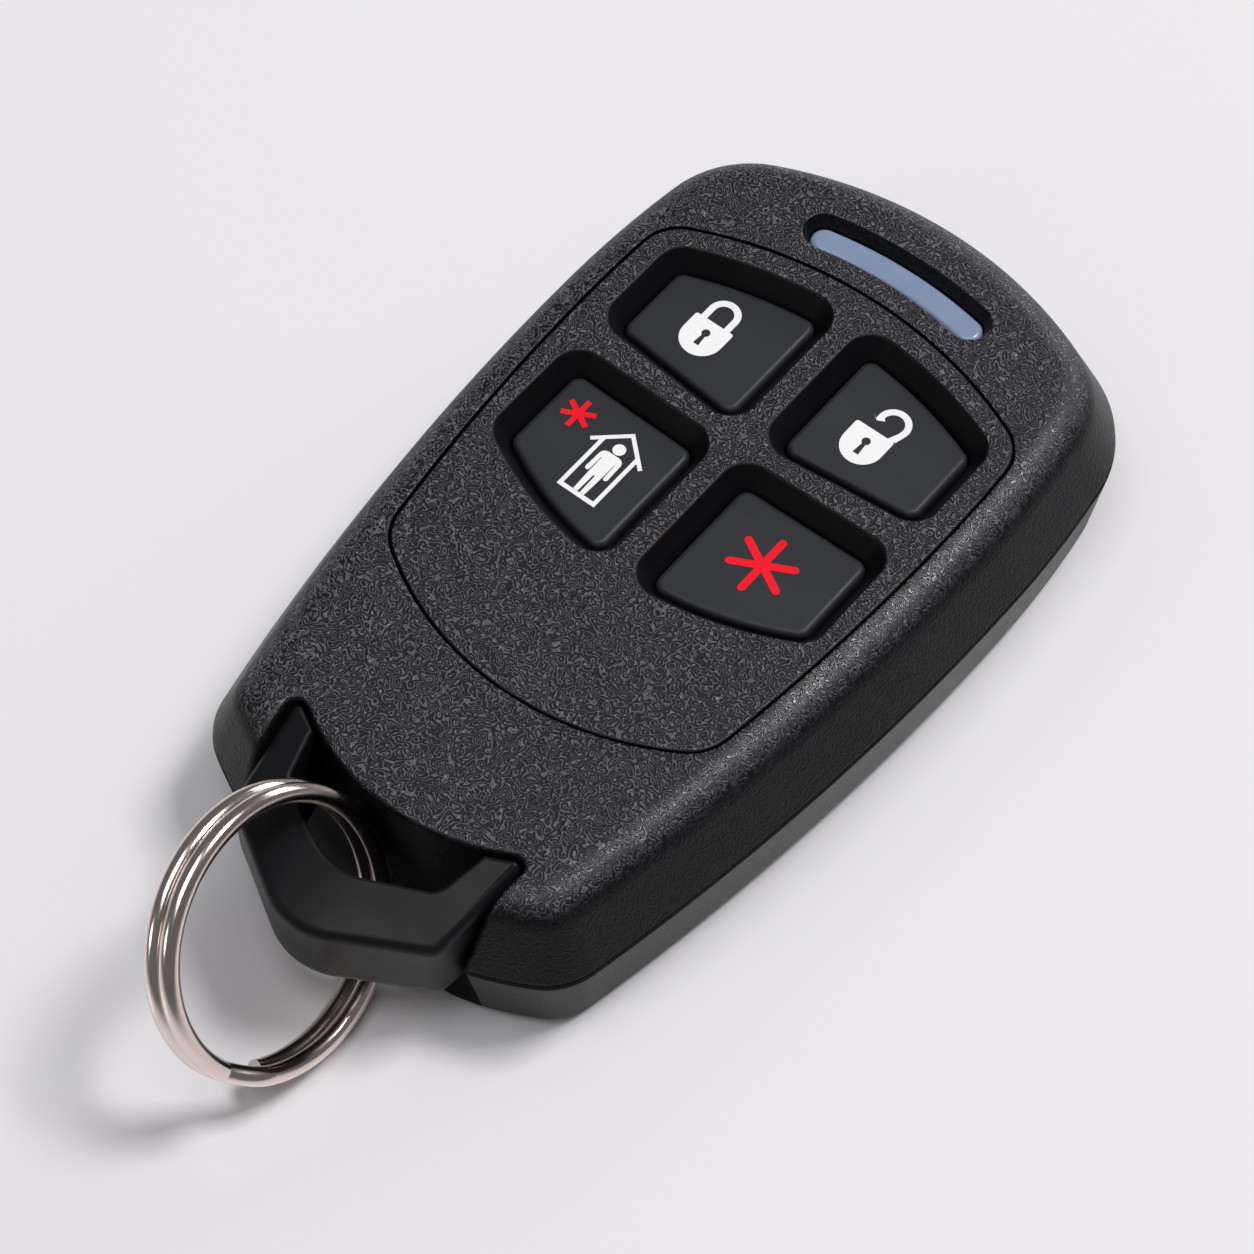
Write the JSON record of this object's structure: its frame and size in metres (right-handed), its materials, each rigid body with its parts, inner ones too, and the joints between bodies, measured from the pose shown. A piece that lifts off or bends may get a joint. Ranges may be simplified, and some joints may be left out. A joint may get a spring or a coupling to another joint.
{
  "type": "alarm key fob",
  "caption": "Alarm key fob with grained black shells, four rubber keys in wells, a light window, a smooth loop at the foot and a split ring.",
  "frame": {"origin": "centre of the flat back", "axes": "X across, Y towards the light window, Z out of the key face"},
  "size_m": [0.038, 0.0767, 0.0174],
  "materials": {
    "shell": "moulded leather grain",
    "key_rubber": "smooth satin",
    "carbon": "pressed carbon",
    "loop_plastic": "smooth satin",
    "light_guide": "translucent",
    "seal_rubber": "smooth",
    "ring_metal": "polished nickel",
    "screw_steel": "zinc plated",
    "cell_steel": "drawn can",
    "contact_gold": "plated",
    "spring_metal": "bright strip",
    "board": "solder mask",
    "chip_resin": "moulded",
    "crystal_can": "drawn lid",
    "passives": "fired",
    "led_lens": "clear"
  },
  "bodies": {
    "case": {"front_housing": "shell", "rear_housing": "shell", "keypad_panel": "shell", "keypad_sheet": "key_rubber", "keyring_loop": "loop_plastic", "light_pipe": "light_guide", "case_seal": "seal_rubber", "housing_screw": "screw_steel", "coin_cell": "cell_steel", "key_contacts": "contact_gold", "loop_antenna": "contact_gold", "battery_clip": "spring_metal", "battery_contact": "spring_metal", "circuit_board": "board", "controller_chip": "chip_resin", "radio_chip": "chip_resin", "crystal": "crystal_can", "capacitors": "passives", "resistors": "passives", "indicator_led": "led_lens"},
    "key_lock_body": {"key_lock": "key_rubber", "contact_pill_lock": "carbon"},
    "key_unlock_body": {"key_unlock": "key_rubber", "contact_pill_unlock": "carbon"},
    "key_stay_body": {"key_stay": "key_rubber", "contact_pill_stay": "carbon"},
    "key_panic_body": {"key_panic": "key_rubber", "contact_pill_panic": "carbon"},
    "ring_body": {"split_ring": "ring_metal"}
  },
  "joints": [
    {"name": "press_lock", "type": "slide", "parent": "case", "child": "key_lock_body", "axis": [0, 0, -1], "range_m": [0, 0.0008], "stiffness_N_per_m": 400},
    {"name": "press_unlock", "type": "slide", "parent": "case", "child": "key_unlock_body", "axis": [0, 0, -1], "range_m": [0, 0.0008], "stiffness_N_per_m": 400},
    {"name": "press_stay", "type": "slide", "parent": "case", "child": "key_stay_body", "axis": [0, 0, -1], "range_m": [0, 0.0008], "stiffness_N_per_m": 400},
    {"name": "press_panic", "type": "slide", "parent": "case", "child": "key_panic_body", "axis": [0, 0, -1], "range_m": [0, 0.0008], "stiffness_N_per_m": 400},
    {"name": "ring_swing", "type": "hinge", "parent": "case", "child": "ring_body", "pos_m": [0, -0.0332, 0.0081], "axis": [1, 0, 0], "range_deg": [-12, 15]}
  ]
}
